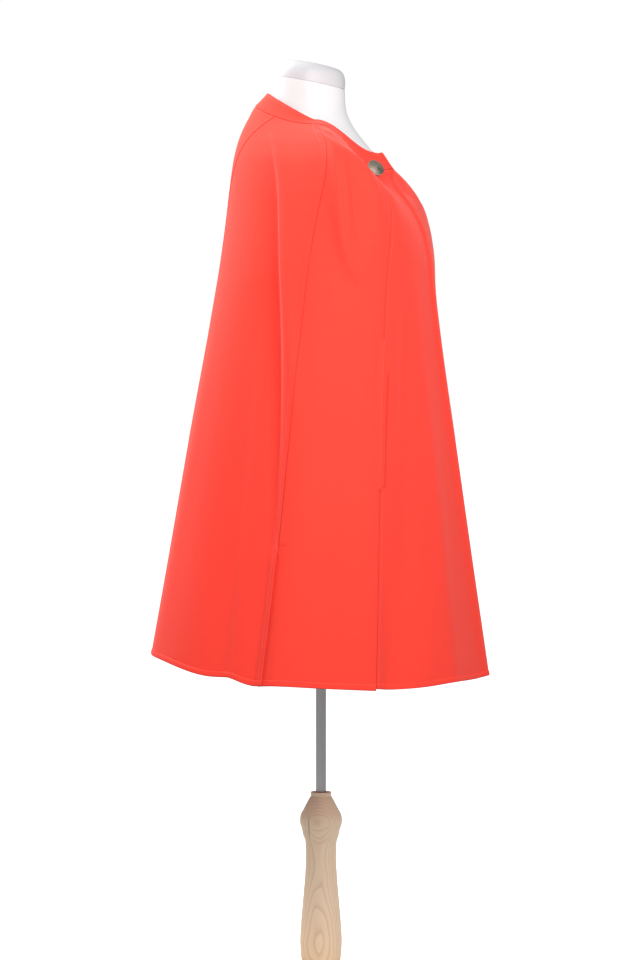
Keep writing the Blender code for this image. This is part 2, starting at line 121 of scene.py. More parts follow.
# Smaller creases over the folds, in the same terms
CREASES = (
    (0.060, 0.80, 133.0, 92.0, 1.52, 3.0, 8.0, -0.0085),
    (0.080, 0.60, 127.0, 89.0, 1.2, 5.0, 3.0, 0.0065),
    (0.045, 0.36, 91.5, 57.5, 0.42, 2.4, 3.4, 0.0080),
    (0.060, 0.32, 84.0, 54.0, 0.50, 5.0, 2.5, -0.0060),
    (0.500, 1.60, 47.0, 48.0, 1.0, 6.0, 3.5, -0.0060),
    (0.130, 0.30, 66.0, 47.0, 0.8, 3.0, 4.0, 0.0020),
    (0.045, 0.30, 34.0, 45.5, 2.2, 3.0, 1.5, -0.0022),
    (0.450, 1.30, 18.0, 24.0, 1.0, 5.0, 4.0, 0.0030),
    (0.340, 1.05, 69.0, 72.0, 1.0, 5.0, 5.0, -0.0015),
    (0.500, 1.40, 113.0, 103.0, 1.0, 3.0, 5.0, -0.0025),
    (0.060, 0.24, 132.0, 122.0, 1.0, 5.0, 6.0, 0.0015),
    (0.400, 1.30, 146.0, 143.0, 1.0, 7.0, 6.0, 0.0030),
    (0.200, 1.10, 238.0, 262.0, 3.0, 8.0, 2.0, -0.0030),
    (0.060, 0.32, 274.0, 300.0, 0.5, 3.0, 2.4, 0.0020),
    (0.450, 1.30, 335.0, 330.0, 1.0, 4.0, 5.0, 0.0025),
    (0.420, 1.40, 206.0, 208.0, 1.0, 6.0, 7.0, 0.0025),
)

# Laps: how far an edge passes its seam, where its lift starts and is full, and the lift
SEAM_GAP = 0.0003
LAP_GAP = 0.0008
SLIT = (0.445, 0.685)
VENT = (0.785, 2.0)
WHOLE = (-2.0, 2.0)
NO_LAP = {"reach": 0.0, "ramp": 0.009, "full": 0.0045, "lifted": 0.0, "span": WHOLE}
FRONT_LAP = {"reach": 0.012, "ramp": 0.012, "full": 0.0010, "lifted": 1.0, "span": WHOLE}
SLIT_LAP = {"reach": 0.007, "ramp": 0.009, "full": 0.0010, "lifted": 1.0, "span": SLIT}
SLIT_UNDER = {"reach": 0.0, "ramp": 0.018, "full": 0.004, "lifted": -0.9, "span": (0.50, 0.68)}
VENT_LAP = {"reach": 0.0, "ramp": 0.017, "full": 0.010, "lifted": 0.40, "span": VENT}
VENT_UNDER = {"reach": 0.008, "ramp": 0.016, "full": 0.009, "lifted": -0.35, "span": VENT}
LAP_RUN = 0.006

# The fronts end a little above the hem of their neighbours, and the neckband above its seam
FRONT_FOOT = 0.997
BAND_FOOT = -0.0004

# How far a piece's edges roll in, as shares of its thickness: at a seam and where the edge is free
SEAM_ROLL = 0.22
FREE_ROLL = 0.45

# Felled strips beside the seams: width from the edge, rise of the doubled cloth, its sunk line of stitches
FELL = {
    "band": 0.0040, "front_seam": 0.0060, "side_seam": 0.0070, "back_seam": 0.0060, "edge": 0.0070,
    "hem": 0.0070,
}
FELL_RISE = 0.0007
SINK_WIDTH = 0.0008
SINK_DEPTH = 0.0003

# Painted shade: how much darker colour is painted in the seams' grooves and in the stitched grooves beside
# them, and a painted shadow on the arm slits under their flaps
PAINTED_SEAM_SHADE = 0.42
PAINTED_SEAM_SHADE_WIDTH = 0.0007
PAINTED_SINK_SHADE = 0.22
PAINTED_SLIT_SHADE = 0.8
PAINTED_SLIT_SHADE_PLACE = 0.0125
PAINTED_SLIT_SHADE_WIDTH = 0.0016

# Columns and rows near an edge of a piece, as distances from it, and the step of the rows between
EDGE_STEPS = (
    0.0, 0.0002, 0.0005, 0.0009, 0.0014, 0.0022, 0.0034, 0.0046, 0.0054, 0.0060, 0.0066, 0.0072,
    0.0080, 0.0092, 0.0110, 0.0135, 0.0160,
)
ROW_STEP = 0.0045
EDGE_ROWS = (0.0, 0.00025, 0.0006, 0.0011, 0.0018, 0.0028)
HEM_ROWS = (0.0, 0.0003, 0.0007, 0.0012, 0.0020, 0.0032, 0.0048, 0.0060, 0.0068, 0.0074, 0.0082, 0.0095)

# Rows of topstitching: a seam, how far towards the back of it, first and last height, distance out. They
# have this many guide points over the cape's whole length.
STITCH_GUIDES = 220
STITCH_ROWS = (
    ("front_seam", -FELL["front_seam"], 0.004, SLIT[0] - LAP_RUN, 0.0),
    ("front_seam", -FELL["front_seam"], SLIT[1] + LAP_RUN, 0.999, 0.0),
    ("front_seam", 0.0016, SLIT[0], SLIT[1], 0.0030),
    ("side_seam", FELL["side_seam"], 0.004, 0.765, 0.0),
    ("side_seam", FELL["side_seam"], 0.800, 0.999, 0.0028),
    ("back_seam", FELL["back_seam"], 0.004, 0.999, 0.0),
)

# Rows round the cape: height, first and last angle, guide points
ROUND_ROWS = (
    (1.0 - FELL["hem"] / DOWN_LENGTH, 3.0, 357.0, 900), (-0.0305, 4.0, 356.0, 500),
    (-0.0040, 4.0, 356.0, 500), (0.0045, 4.0, 356.0, 500),
)

# Rows beside the centre front: their heights and guide points, then metres towards the left, distance out
FRONT_SPAN = (-0.03, 0.995, 260)
FRONT_ROWS = ((0.0055, 0.0032), (-0.0070, 0.0))

# Over a side vent an arc and a cross, and bars of thread at the ends of an arm slit. Places are metres
# towards the back and shares of the cape's length down from the vent's upper end.
ARC_HEIGHT = 0.016
ARC_STEPS = 12
CROSS = (((-0.0035, 0.001), (0.0015, 0.011)), ((0.0015, 0.001), (-0.0035, 0.011)))
CROSS_OUT = 0.0020
TACK = (-0.0085, -0.0040, 0.0005)
TACK_OUT = 0.0034

# Least and greatest share of its size that a stitch has along, across and up
STITCH_VARIETY = ((0.86, 0.9, 0.9), (1.06, 1.1, 1.1))

# The dress form
FORM_NAMES = ("front", "side", "side_y", "back", "front_z", "side_z", "back_z", "sag")
FORM_NECK = (
    (0.0345, 0.0520, 0.0160, 0.0680, 1.3420, 1.3520, 1.3620, 0.000),
    (0.0380, 0.0550, 0.0130, 0.0725, 1.3080, 1.3200, 1.3400, 0.000),
    (0.0500, 0.0605, 0.0040, 0.0750, 1.2840, 1.2970, 1.3260, 0.004),
    (0.0665, 0.0700, -0.0050, 0.0800, 1.2630, 1.2885, 1.3185, 0.012),
)
SHOULDER_END = 0.15
SEAT_GAP = 0.0009
NECK_CLEARANCE = 0.0022
FORM_TORSO = (
    (0.1340, 0.1830, -0.0460, 0.1190, 1.1500, 1.1950, 1.2200, 0.003),
    (0.1450, 0.1740, -0.0360, 0.1180, 1.1100, 1.1450, 1.1650, 0.000),
    (0.1490, 0.1640, -0.0220, 0.1130, 1.0700, 1.0800, 1.0900, 0.000),
    (0.1240, 0.1460, -0.0080, 0.1050, 1.0000, 1.0000, 1.0000, 0.000),
    (0.1040, 0.1300, 0.0000, 0.0980, 0.9300, 0.9300, 0.9300, 0.000),
    (0.1140, 0.1560, 0.0000, 0.1140, 0.8400, 0.8400, 0.8400, 0.000),
    (0.1200, 0.1720, 0.0000, 0.1250, 0.7600, 0.7600, 0.7600, 0.000),
    (0.1160, 0.1660, 0.0000, 0.1200, 0.7000, 0.7000, 0.7000, 0.000),
)
TORSO_BOTTOM = 0.700
TORSO_INSET = 0.97
FORM_COLUMNS = 96
FORM_ROW_STEP = 0.006
SHOULDER_RINGS = 16
CAP_RISE = 0.029
CAP_SHELLS = (
    (1.0, 0.0), (0.997, 0.12), (0.99, 0.25), (0.978, 0.38), (0.955, 0.52), (0.925, 0.66),
    (0.88, 0.78), (0.82, 0.87), (0.74, 0.94), (0.60, 0.98), (0.40, 1.0), (0.15, 1.005),
)

# Pole, turned column and base
POLE_RADIUS = 0.0077
POLE_SINK = 0.060
COLUMN_TOP = 0.3100
COLUMN_BORE_DEPTH = 0.050
BASE_RADIUS = 0.170
BASE_THICK = 0.022
BASE_EDGE = 0.005
BASE_FOOT_EDGE = 0.3 * BASE_EDGE
BASE_FACE_RADII = (0.04, 0.10)
COLUMN_PROFILE = (
    (0.0151, 0.3100), (0.0153, 0.3070), (0.0147, 0.3052), (0.0179, 0.2996), (0.0219, 0.2922),
    (0.0259, 0.2844), (0.0300, 0.2765), (0.0312, 0.2698), (0.0308, 0.2630), (0.0287, 0.2567),
    (0.0261, 0.2450), (0.0241, 0.2399), (0.0228, 0.2270), (0.0226, 0.2147), (0.0236, 0.1893),
    (0.0268, 0.1500), (0.0298, 0.1150), (0.0310, 0.0850), (0.0290, 0.0620), (0.0262, 0.0500),
    (0.0262, 0.0450), (0.0330, 0.0400), (0.0350, 0.0330), (0.0330, 0.0260),
    (0.0330, BASE_THICK + SEAM_GAP),
)

# Steps round the turned pieces, rows of the pole and of the base's edge, and the column's row step
POLE_STEPS, COLUMN_STEPS, BASE_STEPS, BUTTON_STEPS = 48, 80, 96, 48
POLE_ROWS, BASE_EDGE_ROWS = 12, 8
COLUMN_ROW_STEP = 0.0015

# A drying crack in the column's right side
CRACK = {
    "aside": 0.0125, "height": 0.2590, "width": 0.0007, "half_length": 0.022, "wander": 0.002,
    "shade": 0.8, "colour": (0.16, 0.08, 0.04),
}

# How dark the wood is from one growth ring to the next
LATE_WOOD = ((0.0, 0.0), (0.62, 0.25), (0.90, 1.0), (1.0, 0.0))

# Button: its place on the cape, its facing in degrees, its shank, and its profile as shares of its size
BUTTON_RADIUS = 0.0130
BUTTON_HEIGHT = 0.0060
BUTTON_DOWN = 0.050
BUTTON_ANGLE = 41.0
BUTTON_FACING = 47.0
BUTTON_RAISED = 31.0
BUTTON_STANDOFF = 0.0082
SHANK_RADIUS = 0.0025
SHANK_LENGTH = 0.0068
BUTTON_PROFILE = (
    (0.02, 0.985), (0.12, 0.975), (0.30, 0.91), (0.55, 0.80), (0.75, 0.68), (0.86, 0.60),
    (0.90, 0.585), (0.93, 0.60), (0.97, 0.58), (1.0, 0.50), (1.0, 0.30), (0.97, 0.16),
    (0.90, 0.02), (0.80, 0.0),
)

# A painted reflection on the button's face, a dark wedge of colour: the direction of its painted bright
# side and how narrow the wedge is
PAINTED_BRIGHT_SIDE = (-0.64, 0.77, 0.0)
PAINTED_WEDGE_SHARPNESS = 9.0

# Angles in degrees from which an edge is shaded sharp
HARD_EDGE = 35.0
SOFT_EDGE = 50.0

# Lights stand at one distance from the middle of the cape: name, azimuth, angle above the level and size
LIGHTS = (("key", 170.0, 45.0, 1.1), ("front", 296.0, 25.0, 1.3), ("side", 352.0, 10.0, 1.2))
LIT_PLACE = (0.0, 0.0, 1.0)
LIGHT_DISTANCE = 1.6
FLOOR_REACH = 60.0

# Camera, measured from the photograph
CAMERA_DISTANCE = 4.2
CAMERA_HEIGHT = 0.888
CAMERA_AZIMUTH = 282.0
FOCAL_PIXELS = 2856.0
PHOTO_WIDTH = 640
PHOTO_HEIGHT = 960
AXIS_PIXEL = 321
HORIZON_PIXEL = 400


# Curves and surfaces


def smooth_between(stations, values, where):
    """A smooth curve through the values at their stations, read at many places."""
    slopes = np.gradient(values, stations, axis=0)
    where = np.asarray(where, float)
    place = np.clip(np.searchsorted(stations, where) - 1, 0, len(stations) - 2)
    span = stations[place + 1] - stations[place]
    part = np.clip((where - stations[place]) / span, 0.0, 1.0)
    if values.ndim > 1:
        span, part = span[:, None], part[:, None]
    rest = 1.0 - part
    return (
        values[place] * (1 + 2 * part) * rest**2
        + values[place + 1] * (3 - 2 * part) * part**2
        + span * part * rest * (slopes[place] * rest - slopes[place + 1] * part)
    )


def soft_step(value):
    value = np.clip(value, 0.0, 1.0)
    return value * value * (3.0 - 2.0 * value)


def bell(value, width):
    return np.exp(-((value / width) ** 2))


def columns_of(names, rows):
    return {name: np.array([row[i] for row in rows]) for i, name in enumerate(names)}


SECTION = columns_of(SECTION_NAMES, SECTIONS)
SEAM = columns_of(SEAM_NAMES, SEAMS)


def ring_points(angle, front, side, side_y, back, front_z, side_z, back_z, sag=0.0, rise=0.0, climb=2.0):
    """Points of a tilted ring: half an oval in front of its side point, and half behind."""
    turn = np.radians(angle)
    ahead, across = np.cos(turn), np.sin(turn)
    reach = np.where(ahead > 0, front, back)
    end_z = np.where(ahead > 0, front_z, back_z)
    dip = np.where(ahead > 0, -sag, rise)
    x = -side * across
    y = side_y * across**2 - reach * ahead
    share = np.abs(ahead) ** np.where(ahead > 0, 2.0, climb)
    z = side_z + (end_z - side_z) * share + dip * np.sin(2 * turn) ** 2
    return np.stack((x, y, z), -1)


def plain_points(angle, down):
    values = {n: smooth_between(SECTION["down"], SECTION[n], down) for n in SECTION_NAMES[1:]}
    points = ring_points(angle, **values)
    share = np.clip((down - HEM_LIFT_START) / (1 - HEM_LIFT_START), 0.0, None) ** 2
    for centre, width, height in HEM_LIFTS:
        points[..., 2] += height * share * bell(angle - centre, width)
    return points


def unit(vectors):
    return vectors / np.linalg.norm(vectors, axis=-1, keepdims=True)


def outward(angle, down):
    upper = np.maximum(down - DOWN_STEP, SECTIONS[0][0])
    lower = np.minimum(down + DOWN_STEP, SECTIONS[-1][0])
    across = plain_points(angle + TURN_STEP, down) - plain_points(angle - TURN_STEP, down)
    along = plain_points(angle, lower) - plain_points(angle, upper)
    return unit(np.cross(across, along))


def fold_depth(angle, down):
    total = np.zeros(np.broadcast(angle, down).shape)
    for start, end, angle_0, angle_1, swing, fore, aft, depth in FOLDS + CREASES:
        run = np.clip((down - start) / (end - start), 0.0, 1.0)
        centre = angle_1 + (angle_0 - angle_1) * (1 - run) ** swing
        away = (angle - centre + 180.0) % 360.0 - 180.0
        width = np.where(away < 0, fore, aft)
        total = total + depth * np.sin(np.pi * run) ** FOLD_FADE * bell(away, width)
    return total


def cape_surface(angle, down):
    """Points on the cape's outer face with its folds, and the directions straight out of it."""
    angle, down = np.broadcast_arrays(np.asarray(angle, float), np.asarray(down, float))
    out = outward(angle, down)
    return plain_points(angle, down) + out * fold_depth(angle, down)[..., None], out


def degrees_per_metre(angle, down):
    step = plain_points(angle + TURN_STEP, down) - plain_points(angle - TURN_STEP, down)
    return 2 * TURN_STEP / np.linalg.norm(step, axis=-1)


def seam_angle(seam, down):
    """A seam's angle. A name is the right side's, with a minus sign the left side's."""
    if seam == "centre":
        return np.zeros_like(down)
    if seam.startswith("-"):
        return 360.0 - seam_angle(seam[1:], down)
    return smooth_between(SEAM["down"], SEAM[seam], down)


# Meshes


def grid_faces(rows, columns, start=0, closed=False, flip=False):
    """Square faces of a grid of points, as an array of four corners each."""
    r, c = np.meshgrid(np.arange(rows - 1), np.arange(columns if closed else columns - 1), indexing="ij")
    d = (c + 1) % columns
    corners = (r * columns + c, r * columns + d, (r + 1) * columns + d, (r + 1) * columns + c)
    faces = np.stack([corner.ravel() + start for corner in corners], -1)
    return faces[:, ::-1] if flip else faces


def mesh_piece(name, points, faces, uv=None, sharp_angle=None):
    """A smooth-shaded mesh object in the scene, at the origin."""
    mesh = bpy.data.meshes.new(name)
    mesh.from_pydata(np.asarray(points).tolist(), [], [tuple(int(i) for i in f) for f in faces])
    if uv is not None:
        layer = mesh.uv_layers.new(name="UVMap")
        corners = np.empty(len(mesh.loops), np.int32)
        mesh.loops.foreach_get("vertex_index", corners)
        layer.data.foreach_set("uv", np.asarray(uv, np.float32)[corners].ravel())
    mesh.shade_smooth()
    if sharp_angle is not None:
        mesh.set_sharp_from_angle(angle=math.radians(sharp_angle))
    mesh.validate()
    piece = bpy.data.objects.new(name, mesh)
    bpy.context.scene.collection.objects.link(piece)
    return piece


def finish_piece(piece, material, slot, *nodes):
    """Gives a piece its material, its body and the nodes that it stands for, which it hides. Its slot is
    not used.
    """
    piece.data.materials.clear()
    piece.data.materials.append(material)
    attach(piece, BODY)
    if nodes:
        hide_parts(*nodes)
    return piece


def turned_piece(name, profile, steps, sharp_angle=HARD_EDGE):
    """A closed turned piece from the rows (radius, height) of its profile, from the top to the foot."""
    profile = np.array(profile, float)
    turn = np.linspace(0.0, 2 * math.pi, steps, endpoint=False)
    radius, height = profile[:, :1], profile[:, 1:]
    ring = np.stack((radius * np.cos(turn), radius * np.sin(turn), height + 0 * turn), -1)
    points = np.vstack((ring.reshape(-1, 3), (0, 0, profile[0, 1]), (0, 0, profile[-1, 1])))
    faces = [tuple(f) for f in grid_faces(len(profile), steps, closed=True, flip=True)]
    top, foot = len(points) - 2, len(points) - 1
    last = (len(profile) - 1) * steps
    for i in range(steps):
        j = (i + 1) % steps
        faces.append((top, i, j))
        faces.append((foot, last + j, last + i))
    return mesh_piece(name, points, faces, sharp_angle=sharp_angle)


def stacked_piece(name, rings):
    """A closed piece from a stack of rings, from its top to its foot."""
    count, columns = rings.shape[:2]
    faces = [tuple(f) for f in grid_faces(count, columns, closed=True)]
    faces.append(tuple(range(columns))[::-1])
    faces.append(tuple(range((count - 1) * columns, count * columns)))
    return mesh_piece(name, rings.reshape(-1, 3), faces, sharp_angle=SOFT_EDGE)


def rounded_profile(rows, spacing):
    """More rows on a smooth curve through the rows of a profile."""
    rows = np.array(rows, float)
    along = np.concatenate(([0.0], np.cumsum(np.linalg.norm(np.diff(rows, axis=0), axis=1))))
    places = np.linspace(0.0, along[-1], max(2, int(along[-1] / spacing)))
    places = np.unique(np.concatenate((places, along)))
    return np.stack([smooth_between(along, rows[:, i], places) for i in range(2)], -1)


# Cloth pieces


CUTS = (
    # piece, first seam, last seam, columns, lap at the first, lap at the last, felled strips by edge
    ("front_right", "centre", "front_seam", 26, FRONT_LAP, SLIT_UNDER,
     {"first": "edge", "last": "front_seam", "foot": "hem"}),
    ("side_front_right", "front_seam", "side_seam", 56, SLIT_LAP, VENT_UNDER, {"foot": "hem"}),
    ("side_back_right", "side_seam", "back_seam", 90, VENT_LAP, NO_LAP,
     {"first": "side_seam", "foot": "hem"}),
    ("back", "back_seam", "-back_seam", 40, NO_LAP, NO_LAP,
     {"first": "back_seam", "last": "back_seam", "foot": "hem"}),
    ("side_back_left", "-back_seam", "-side_seam", 90, NO_LAP, VENT_LAP,
     {"last": "side_seam", "foot": "hem"}),
    ("side_front_left", "-side_seam", "-front_seam", 56, VENT_UNDER, SLIT_LAP, {"foot": "hem"}),
    ("front_left", "-front_seam", "centre", 26, SLIT_UNDER, NO_LAP,
     {"first": "front_seam", "last": "edge", "foot": "hem"}),
)
BANDS = (
    ("neckband_front_right", "centre", "side_seam", 40, FRONT_LAP, NO_LAP, {"foot": "band"}),
    ("neckband_back", "side_seam", "-side_seam", 70, NO_LAP, NO_LAP, {"foot": "band"}),
    ("neckband_front_left", "-side_seam", "centre", 40, NO_LAP, NO_LAP, {"foot": "band"}),
)


def inside_span(down, span, run):
    """1 within a span of heights, fading to 0 at its ends."""
    return soft_step((down - span[0]) / run) * soft_step((span[1] - down) / run)


def strip_relief(distance, width):
    """A felled strip: the doubled cloth stands up to its stitching, which sinks in a little."""
    raised = FELL_RISE * soft_step((width + SINK_WIDTH - distance) / (2 * SINK_WIDTH))
    return raised - SINK_DEPTH * bell(distance - width, SINK_WIDTH)


def row_places(top, foot, foot_rows):
    """Heights of the rows of a piece, closer together at its upper and lower edges."""
    upper = [top + d / DOWN_LENGTH for d in EDGE_ROWS]
    lower = [foot - d / DOWN_LENGTH for d in foot_rows]
    count = max(2, int((lower[-1] - upper[-1]) * DOWN_LENGTH / ROW_STEP))
    middle = np.linspace(upper[-1], lower[-1], count)[1:-1]
    ends = [end + side * LAP_RUN for end in (*SLIT, VENT[0]) for side in (-1, -0.5, 0, 0.5, 1)]
    ends = [end for end in ends if upper[-1] < end < lower[-1]]
    return np.unique(np.round(np.concatenate((upper, middle, ends, lower)), 6))


def cloth_grid(cut, top, foot, foot_rows, cloth):
    """Outer and inner points of one cut piece, and the painted shade of its grooves and slits, made from
    the distances that its looks are made from.
    """
    _, first, last, middle, *laps, strips = cut
    rows = row_places(top, foot, foot_rows)
    start, end = seam_angle(first, rows), seam_angle(last, rows)
    end = np.where(end < start, end + 360.0, end)
    lift_height = cloth.thickness + LAP_GAP
    reaches, gates = [], []
    for lap in laps:
        upper, lower = lap["span"]
        reaches.append(lap["reach"] * inside_span(rows, (upper, lower), LAP_RUN))
        gates.append(inside_span(rows, (upper - LAP_RUN, lower + LAP_RUN), LAP_RUN))
    start = start - reaches[0] * degrees_per_metre(start, rows)
    end = end + reaches[1] * degrees_per_metre(end, rows)
    near = np.array(EDGE_STEPS)
    head = start[:, None] + near * degrees_per_metre(start, rows)[:, None]
    tail = end[:, None] - near[::-1] * degrees_per_metre(end, rows)[:, None]
    share = np.linspace(0.0, 1.0, middle + 2)[1:-1]
    between = head[:, -1:] + (tail[:, :1] - head[:, -1:]) * share
    angle = np.hstack((head, between, tail))
    down = np.repeat(rows[:, None], angle.shape[1], axis=1)
    surface, out = cape_surface(angle, down)

    steps = np.linalg.norm(np.diff(surface, axis=1), axis=-1)
    from_first = np.hstack((np.zeros((len(rows), 1)), np.cumsum(steps, axis=1)))
    from_last = from_first[:, -1:] - from_first
    edges = {
        "first": from_first - reaches[0][:, None] * (first != "centre"),
        "last": from_last - reaches[1][:, None] * (last != "centre"),
        "foot": (foot - down) * DOWN_LENGTH,
    }
    # shade is painted shade: darker colour in the seams' grooves, beside their stitching and under the arm
    # slits' flaps
    lift, relief, shade = (np.zeros_like(angle) for _ in range(3))
    free = []
    for lap, gate, reach, distance in zip(laps, gates, reaches, (from_first, from_last)):
        past = distance - reach[:, None]
        ramp = soft_step((lap["ramp"] - past) / (lap["ramp"] - lap["full"]))
        lift = lift + lap["lifted"] * lift_height * ramp * gate[:, None]
        free.append(gate[:, None] * (lap is not NO_LAP))
        # A painted shadow on the cloth under the arm slit's flap
        if lap is SLIT_UNDER:
            under = PAINTED_SLIT_SHADE * bell(distance - PAINTED_SLIT_SHADE_PLACE, PAINTED_SLIT_SHADE_WIDTH) * gate[:, None]
            shade = np.maximum(shade, under)
    for edge, kind in strips.items():
        relief = relief + strip_relief(edges[edge], FELL[kind])
        if kind.endswith("seam"):
            shade = np.maximum(shade, PAINTED_SINK_SHADE * bell(edges[edge] - FELL[kind], SINK_WIDTH))
    sewn = [edges[edge] for edge, seam in (("first", first), ("last", last)) if seam != "centre"]
    sewn.append(down * DOWN_LENGTH if top == 0.0 else edges["foot"])
    for distance in sewn:
        shade = np.maximum(shade, PAINTED_SEAM_SHADE * bell(distance, PAINTED_SEAM_SHADE_WIDTH))

    heads = (from_first, from_last, (down - top) * DOWN_LENGTH, (foot - down) * DOWN_LENGTH)
    drop = np.zeros_like(angle)
    for distance, loose in zip(heads, (*free, True, True)):
        roll = (SEAM_ROLL + (FREE_ROLL - SEAM_ROLL) * loose) * cloth.thickness
        inset = np.clip(1.0 - distance / roll, 0.0, 1.0)
        drop = np.maximum(drop, roll * (1.0 - np.sqrt(1.0 - inset**2)))
    outer = surface + out * (lift + relief - drop)[..., None]
    inner = surface + out * (lift - cloth.thickness + drop)[..., None]
    return outer, inner, shade


def cloth_piece(name, cut, top, foot, foot_rows, cloth):
    """A closed thin shell of cloth with rounded edges, and the flat size of its cut."""
    outer, inner, shade = cloth_grid(cut, top, foot, foot_rows, cloth)
    rows, columns = outer.shape[:2]
    skip = rows * columns
    faces = [tuple(f) for f in grid_faces(rows, columns)]
    faces += [tuple(f) for f in grid_faces(rows, columns, start=skip, flip=True)]
    rim = list(range(columns))
    rim += [r * columns + columns - 1 for r in range(1, rows)]
    rim += [(rows - 1) * columns + c for c in range(columns - 2, -1, -1)]
    rim += [r * columns for r in range(rows - 2, 0, -1)]
    for here, there in zip(rim, rim[1:] + rim[:1]):
        faces.append((there, here, skip + here, skip + there))
    across = np.linalg.norm(np.diff(outer, axis=1), axis=-1)
    along = np.linalg.norm(np.diff(outer, axis=0), axis=-1)
    u = np.hstack((np.zeros((rows, 1)), np.cumsum(across, axis=1)))
    u = u - u[:, columns // 2, None]
    v = np.concatenate(([0.0], np.cumsum(along[:, columns // 2])))
    uv = np.stack((u, -np.repeat(v[:, None], columns, axis=1)), -1).reshape(-1, 2)
    points = np.vstack((outer.reshape(-1, 3), inner.reshape(-1, 3)))
    piece = mesh_piece(name, points, faces, np.vstack((uv, uv)))
    # The painted shade goes to the wool's colour as an attribute
    layer = piece.data.attributes.new("shade", "FLOAT", "POINT")
    layer.data.foreach_set("value", np.tile(shade.ravel(), 2).astype(np.float32))
    normal = np.cross(outer[1:, 1:] - outer[:-1, :-1], outer[1:, :-1] - outer[:-1, 1:])
    area = float(np.linalg.norm(normal, axis=-1).sum() / 2)
    return piece, (float(across.sum(axis=1).max()), float(along.sum(axis=0).max())), area


# Nodes


def feed(tree, target, value):
    """Links a node's socket to another one, or sets its value."""
    value = getattr(value, "socket", value)
    if isinstance(value, bpy.types.NodeSocket):
        tree.links.new(value, target)
    elif target.type == "RGBA" and len(value) == 3:
        target.default_value = (*value, 1.0)
    else:
        target.default_value = value


def add_node(tree, kind, settings, sockets):
    """A new node with its settings and its sockets."""
    made = tree.nodes.new(kind)
    for name, value in settings.items():
        setattr(made, name, value)
    for name, value in sockets.items():
        feed(tree, made.inputs[name], value)
    return made


class Number:
    """A number in a node tree. Sums written with it add the Math nodes."""

    def __init__(self, finish, socket):
        self.finish = finish
        self.socket = socket

    def joined(self, operation, first, second):
        return self.finish.node("Math", {"operation": operation}, {0: first, 1: second})

    def __add__(self, other):
        return self.joined("ADD", self, other)

    def __radd__(self, other):
        return self.joined("ADD", other, self)

    def __sub__(self, other):
        return self.joined("SUBTRACT", self, other)

    def __rsub__(self, other):
        return self.joined("SUBTRACT", other, self)

    def __mul__(self, other):
        return self.joined("MULTIPLY", self, other)

    def __rmul__(self, other):
        return self.joined("MULTIPLY", other, self)

    def __truediv__(self, other):
        return self.joined("DIVIDE", self, other)

    def __pow__(self, other):
        return self.joined("POWER", self, other)

    def __lt__(self, other):
        return self.joined("LESS_THAN", self, other)

    def __abs__(self):
        return self.joined("ABSOLUTE", self, 0.0)


class Finish:
    """A material in the making, around one Principled BSDF."""

    def __init__(self, name):
        self.material = bpy.data.materials.new(name)
        self.material.use_nodes = True
        self.tree = self.material.node_tree
        self.shader = self.tree.nodes["Principled BSDF"]

    def node(self, kind, settings=None, sockets=None, output=0):
        """One of the outputs of a new node."""
        made = add_node(self.tree, "ShaderNode" + kind, settings or {}, sockets or {})
        return Number(self, made.outputs[output])

    def ramp(self, value, stops):
        """A grey that follows a value through stops of (place, grey)."""
        made = add_node(self.tree, "ShaderNodeValToRGB", {}, {"Fac": value})
        elements = made.color_ramp.elements
        while len(elements) < len(stops):
            elements.new(1.0)
        for element, (place, grey) in zip(elements, stops):
            element.position = place
            element.color = (grey, grey, grey, 1.0)
        return Number(self, made.outputs[0])

    def mixed(self, share, first, second):
        """A colour between two."""
        return self.node("Mix", {"data_type": "RGBA"}, {0: share, 6: first, 7: second}, output=2)

    def noise(self, place, scale, detail=2.0, roughness=0.5, distortion=0.0):
        """A noise between 0 and 1."""
        sockets = {"Vector": place, "Scale": scale, "Detail": detail}
        sockets.update({"Roughness": roughness, "Distortion": distortion})
        return self.node("TexNoise", {}, sockets)

    def place(self, source, scale=(1.0, 1.0, 1.0), location=(0.0, 0.0, 0.0)):
        """Coordinates of the UV map or of the object, stretched and moved."""
        spot = self.node("TexCoord", output=2 if source == "UV" else 3)
        sockets = {"Vector": spot, "Scale": scale, "Location": location}
        return self.node("Mapping", {}, sockets)

    def part(self, place, axis):
        """One of the three numbers of coordinates: 0 is x, 1 is y and 2 is z."""
        return self.node("SeparateXYZ", {}, {0: place}, output=axis)

    def bump(self, height, distance, strength=1.0):
        return self.node("Bump", {}, {"Height": height, "Distance": distance, "Strength": strength})

    def surface(self, sockets):
        for name, value in sockets.items():
            feed(self.tree, self.shader.inputs[name], value)
        return self.material


def wool_finish(name, look):
    """Soft double-faced wool: a short felted nap, faintly mottled, over a fine weave, with painted shade in
    its seams' grooves and a painted shadow under its slits' flaps.
    """
    wool = Finish(name)
    cloth = wool.place("UV")
    mottle = wool.noise(cloth, 95.0, 3.0, 0.55)
    nap = wool.noise(cloth, 900.0, 2.0, 0.6)
    fibres = wool.noise(wool.place("UV", scale=(1.0, 0.35, 1.0)), 1500.0, 2.0, 0.7, 0.6)
    shade = mottle * 0.35 + nap * 0.35 + fibres * 0.30
    # Painted shade: the piece's shade attribute darkens the colour towards the painted shade colour
    painted_groove_shade = wool.node("Attribute", {"attribute_name": "shade"}, output=2)
    colour = wool.mixed(painted_groove_shade, wool.mixed(shade, look.wool_deep, look.wool_light), look.wool_painted_shade)
    height = nap * 0.55 + fibres * 0.30 + mottle * 0.15
    return wool.surface({
        "Base Color": colour,
        "Roughness": 0.9,
        "Sheen Weight": look.sheen,
        "Sheen Roughness": 0.30,
        "Sheen Tint": (1.0, 0.60, 0.54),
        "Specular IOR Level": 0.12,
        "Normal": wool.bump(height, look.nap_height),
    })


